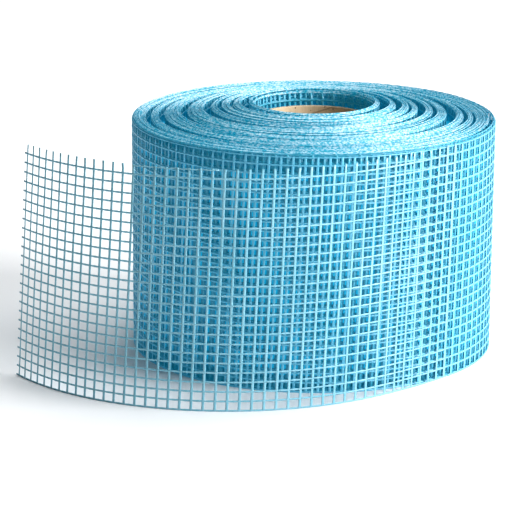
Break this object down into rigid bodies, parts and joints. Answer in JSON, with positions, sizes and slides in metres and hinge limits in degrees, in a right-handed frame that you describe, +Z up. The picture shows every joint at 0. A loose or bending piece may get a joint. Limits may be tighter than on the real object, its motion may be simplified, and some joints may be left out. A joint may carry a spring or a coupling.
{
  "type": "roll of mesh joint tape",
  "caption": "Roll of open glass-fibre mesh joint tape standing on its end, wound on a cardboard core, with its free end led out in front.",
  "frame": {"origin": "middle of the floor area that the roll and its free end take up, at the height of the floor", "axes": "+Z up along the roll's axis, -Y towards the side that the free end lies on, +X towards the side where it leaves the roll"},
  "size_m": [0.2022, 0.1828, 0.1065],
  "materials": {
    "glass_fibre_mesh": "light blue coated glass-fibre mesh",
    "cardboard": "plain grey-brown wound cardboard"
  },
  "bodies": {
    "root": {"mesh_tape": "glass_fibre_mesh", "cardboard_core": "cardboard"}
  },
  "joints": []
}
